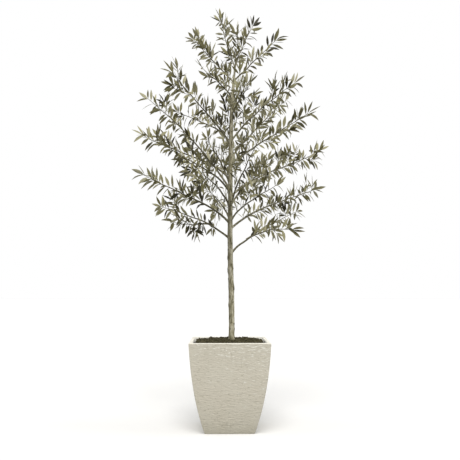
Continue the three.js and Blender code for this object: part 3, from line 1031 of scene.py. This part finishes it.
def stem_shoot(k, seed):
    """A short shoot straight from the upper stem."""
    g, rng = Growth(), np.random.default_rng([SEED, 99, k, seed])
    if rng.random() < 0.25:
        return g
    z = STEM_SHOOTS[0] + k * STEM_EVERY + rng.uniform(-12, 12)
    way = rng.uniform(0, 360)
    if z < 1735 and 225 < way < 315:  # none in front of the stem below its top
        way = (way + 180) % 360
    centre = trunk_at(z)
    out = heading(way, 0)
    length = rng.uniform(20, 62) if z > 1500 else rng.uniform(16, 44)
    direction = unit(out + UP * rng.uniform(0.4, 1.3))
    pts = [centre + out * trunk_radius(z) * 0.6]
    for _ in range(6):
        direction = unit(direction + UP * 0.08 + rng.normal(0, 0.04, 3))
        pts.append(pts[-1] + direction * length / 6)
    shoot = Line(pts)
    g.wood.append((shoot.p, np.linspace(1.4, 0.7, len(pts))))
    leaf_pairs(g, rng, shoot, 9.0, TWIG_NODE, 1.0, 0.84)
    return g


for index, limb in enumerate(limbs.values()):
    limb["index"] = index
    limb["line"] = limb_line(limb)
STEM_COUNT = int((STEM_SHOOTS[1] - STEM_SHOOTS[0]) / STEM_EVERY)


def shoots():
    """Every shoot of the tree with its zone, by its limb's row of seeds."""
    for limb in limbs.values():
        zone = limb["name"].split("_")[0]
        seeds = SHOOT_SEEDS.get(limb["name"], ())
        pick = lambda i: seeds[i] if i < len(seeds) else 0
        yield zone, limb["name"], 0, limb_leaves(limb, pick(0))
        for k in range(len(twig_sites(limb))):
            yield zone, limb["name"], k + 1, side_twig(limb, k, pick(k + 1))
    seeds = SHOOT_SEEDS.get("stem", ())
    for k in range(STEM_COUNT):
        yield "top", "stem", k, stem_shoot(k, seeds[k] if k < len(seeds) else 0)


def blades(rows):
    """The blades of leaves: both sheets' points for each leaf, station by station."""
    foot = np.array([r[0] for r in rows])
    d0 = unit(np.array([r[1] for r in rows]))
    n0 = unit(np.array([r[2] for r in rows]))
    L = np.array([r[3] for r in rows])
    droop = np.array([r[4] for r in rows])
    curl = np.array([r[5] for r in rows])
    W = np.array([r[6] for r in rows])
    inward = np.array([r[8] for r in rows])
    pos = foot.copy()
    tops, lows = [], []
    previous = 0.0
    K = len(LEAF_STATIONS)
    for k, t in enumerate(LEAF_STATIONS):
        mid = (t + previous) / 2
        step = t - previous
        bend = lambda q: unit(d0 - UP * (droop * q)[:, None] + n0 * (curl * q)[:, None] * 2.0 + inward * q)
        pos = pos + bend(mid) * (L * step)[:, None]
        dt = bend(t)
        n = unit(n0 - dt * np.sum(n0 * dt, 1, keepdims=True))
        s = np.cross(dt, n)
        w = W * 0.5 * LEAF_OUTLINE[k] + (0.55 if k == 0 else 0.0)
        rise = w * 0.22
        left = pos - s * w[:, None] + n * rise[:, None]
        right = pos + s * w[:, None] + n * rise[:, None]
        low = pos - n * 0.45 if 0 < k < K - 1 else pos - n * 0.2
        tops.append(np.stack([left, pos, right], 1))
        lows.append(np.stack([left, low, right], 1))
        previous = t
    return np.stack(tops, 1), np.stack(lows, 1)  # leaf, station, left to right, xyz


# ------------------------------------------------------------------ leaf meshes
def leaf_mesh(name, rows, tint_of):
    M = len(rows)
    K = len(LEAF_STATIONS)
    spray = np.array([r[7] for r in rows])
    top, low = blades(rows)
    verts = np.stack([top, low], 1).reshape(M * 2 * K * 3, 3)
    base = np.arange(K * 3).reshape(K, 3)
    f = []
    for k in range(K - 1):
        for j in (0, 1):
            f.append([base[k, j], base[k, j + 1], base[k + 1, j + 1], base[k + 1, j]])
    f = np.array(f)
    # the upper sheet looks along the blade's upper side, the lower sheet away from it
    upper_faces = f[:, ::1]
    lower_faces = f[:, ::-1] + K * 3
    per = np.concatenate([upper_faces, lower_faces])
    faces = (per[None] + (np.arange(M) * 2 * K * 3)[:, None, None]).reshape(-1, 4)
    up_tint, low_tint = tint_of(spray)
    index = np.concatenate(
        [np.repeat(up_tint[:, None], len(f), 1), np.repeat((low_tint + len(UPPER))[:, None], len(f), 1)], 1
    ).ravel()
    return build(name, verts, faces, UPPER + UNDER, index)


leaf_rows = {}
twigs = {}
spray_count = 0
for zone, _, _, g in shoots():
    leaf_rows.setdefault(zone, []).extend(r[:7] + (r[7] + spray_count,) + r[8:] for r in g.rows)
    spray_count += g.spray + 1
    soup = twigs.setdefault(zone, Soup())
    for points, radii in g.wood:
        soup.add(tube(points, radii, 6, 90 + len(soup.v)))

tint_rng = np.random.default_rng(SEED + 9)
UP_TINT = tint_rng.choice(len(UPPER), size=spray_count + 2, p=[0.22, 0.23, 0.2, 0.18, 0.17])
LOW_TINT = tint_rng.choice(len(UNDER), size=spray_count + 2, p=[0.4, 0.3, 0.3])
tints = lambda spray: (UP_TINT[spray], LOW_TINT[spray])

print("leaves", sum(len(r) for r in leaf_rows.values()), "sprays", spray_count)

# ------------------------------------------------------------------ pieces
pot = make_pot()
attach(pot, "root")
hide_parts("pot")

soil = make_soil()
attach(soil, "root")
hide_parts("soil")

wood = make_wood()
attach(wood, "root")
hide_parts("trunk", *["bough_" + l["name"] for l in limbs.values() if not l["top"]])

for zone in ("right", "left", "front", "back", "top"):
    names = ["leaf_mass_" + n for n in limbs if n.startswith(zone)]
    soup = twigs[zone]
    piece = build("twigs_" + zone, soup.points(), soup.faces(), [TWIG])
    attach(piece, "root")
    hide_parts(*names)
    piece = leaf_mesh("leaves_" + zone, leaf_rows[zone], tints)
    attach(piece, "root")
    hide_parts(*names)

# ------------------------------------------------------------------ floor and light
size = 40.0
floor_mesh = bpy.data.meshes.new("floor")
floor_mesh.from_pydata(
    [(-size, -size, -0.0006), (size, -size, -0.0006), (size, size, -0.0006), (-size, size, -0.0006)], [], [(0, 1, 2, 3)]
)
floor = bpy.data.objects.new("floor", floor_mesh)
SCENE.collection.objects.link(floor)
floor_mesh.materials.append(plain("pale_floor", (0.735, 0.735, 0.73, 1.0), 0.9, 0.1))
floor.visible_diffuse = False

world = bpy.data.worlds.new("studio")
SCENE.world = world
world.use_nodes = True
wn = world.node_tree
wn.nodes.clear()
out = wn.nodes.new("ShaderNodeOutputWorld")
seen = wn.nodes.new("ShaderNodeBackground")
seen.inputs["Color"].default_value = (1, 1, 1, 1)
seen.inputs["Strength"].default_value = 1.0
# a soft dome, brighter above than below
dome = wn.nodes.new("ShaderNodeTexCoord")
split = wn.nodes.new("ShaderNodeSeparateXYZ")
wn.links.new(dome.outputs["Generated"], split.inputs[0])
level = wn.nodes.new("ShaderNodeMapRange")
level.clamp = True
for k, v in (("From Min", -0.25), ("From Max", 0.6), ("To Min", 0.5), ("To Max", 0.62)):
    level.inputs[k].default_value = v
wn.links.new(split.outputs[2], level.inputs["Value"])
lit = wn.nodes.new("ShaderNodeBackground")
lit.inputs["Color"].default_value = (1.0, 1.0, 1.0, 1)
wn.links.new(level.outputs["Result"], lit.inputs["Strength"])
path = wn.nodes.new("ShaderNodeLightPath")
both = wn.nodes.new("ShaderNodeMixShader")
wn.links.new(path.outputs["Is Camera Ray"], both.inputs[0])
wn.links.new(lit.outputs[0], both.inputs[1])
wn.links.new(seen.outputs[0], both.inputs[2])
wn.links.new(both.outputs[0], out.inputs["Surface"])



def sun_lamp(name, azimuth, elevation, energy, angle, color):
    data = bpy.data.lights.new(name, "SUN")
    data.energy = energy
    data.angle = math.radians(angle)
    data.color = color
    lamp = bpy.data.objects.new(name, data)
    lamp.rotation_euler = Vector(heading(azimuth, elevation)).to_track_quat("Z", "Y").to_euler()
    SCENE.collection.objects.link(lamp)


sun_lamp("key", -92, 54, 2.85, 40, (1.0, 0.985, 0.96))
sun_lamp("right", -6, 22, 0.8, 30, (1.0, 0.985, 0.96))
sun_lamp("left", 186, 22, 0.5, 30, (1.0, 0.985, 0.96))
